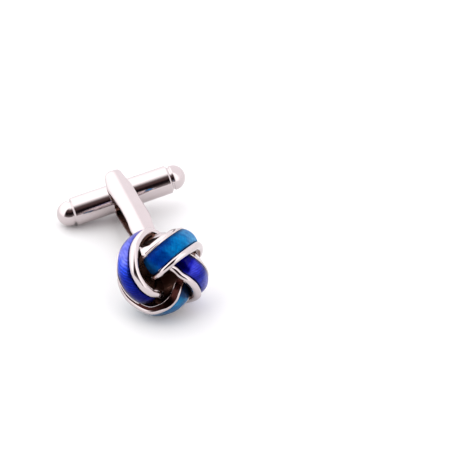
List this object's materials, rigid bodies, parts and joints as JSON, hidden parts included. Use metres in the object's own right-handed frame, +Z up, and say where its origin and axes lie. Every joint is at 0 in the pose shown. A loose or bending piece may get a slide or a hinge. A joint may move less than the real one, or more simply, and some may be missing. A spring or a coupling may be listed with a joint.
{
  "type": "knot cufflink",
  "caption": "Cufflink with a round woven knot of enamelled bands, a forked post and a swivelling bullet toggle, lying on its knot, fork and toggle.",
  "frame": {"origin": "on the surface the cufflink lies on, below the middle of its bounding box", "axes": "+Y from the knot towards the toggle, +X towards the toggle's raised end, +Z up from the surface"},
  "size_m": [0.0198, 0.0298, 0.0128],
  "materials": {
    "silver_metal": "polished rhodium plate over brass",
    "blue_enamel": "glossy hard enamel, softly clouded",
    "turquoise_enamel": "glossy hard enamel, softly clouded"
  },
  "bodies": {
    "head": {"knot_casting": "silver_metal", "enamel_blue_left": "blue_enamel", "enamel_turquoise_top": "turquoise_enamel", "enamel_blue_right": "blue_enamel", "enamel_turquoise_bottom": "turquoise_enamel", "fork": "silver_metal", "pivot_pin": "silver_metal"},
    "toggle": {"toggle": "silver_metal"}
  },
  "joints": [
    {"name": "toggle_swivel", "type": "hinge", "parent": "head", "child": "toggle", "pos_m": [0, 0.01162, 0.00343], "axis": [-0.1762, 0.1285, 0.9759], "range_deg": [-89, 91]}
  ]
}
